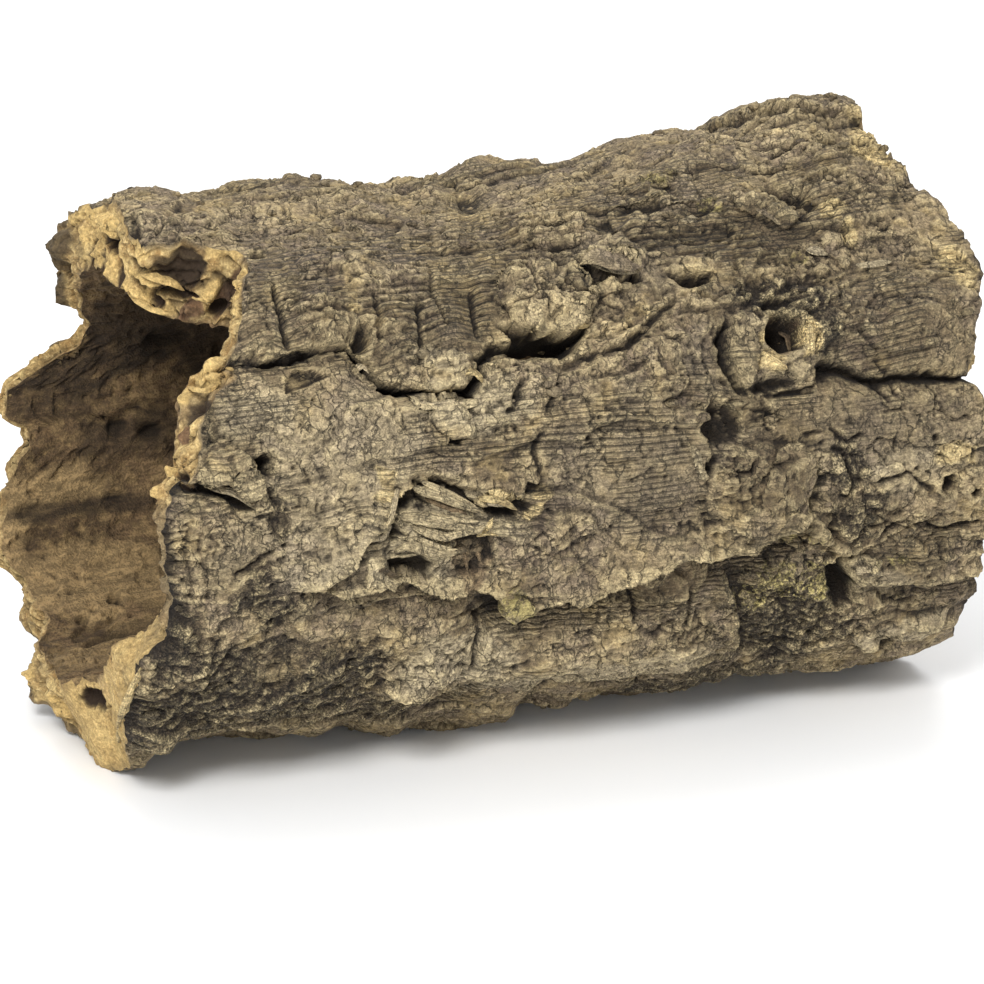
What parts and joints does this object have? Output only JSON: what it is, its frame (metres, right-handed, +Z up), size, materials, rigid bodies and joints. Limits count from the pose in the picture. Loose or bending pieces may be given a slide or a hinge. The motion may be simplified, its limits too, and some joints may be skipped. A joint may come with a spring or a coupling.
{
  "type": "cork bark tube",
  "caption": "Hollow tube of natural cork oak bark with rough fissured outside, open broken ends and a clear way through, lying on its side.",
  "frame": {"origin": "on the resting surface, under the middle of the tube's bounding box", "axes": "+X runs along the tube from the deeply broken end to the other end, +Z is up, -Y is the side with the long overhanging ledge"},
  "size_m": [0.3284, 0.2108, 0.2081],
  "materials": {
    "cork_bark": "rough weathered bark, matte"
  },
  "bodies": {
    "root": {"cork_tube": "cork_bark"}
  },
  "joints": []
}
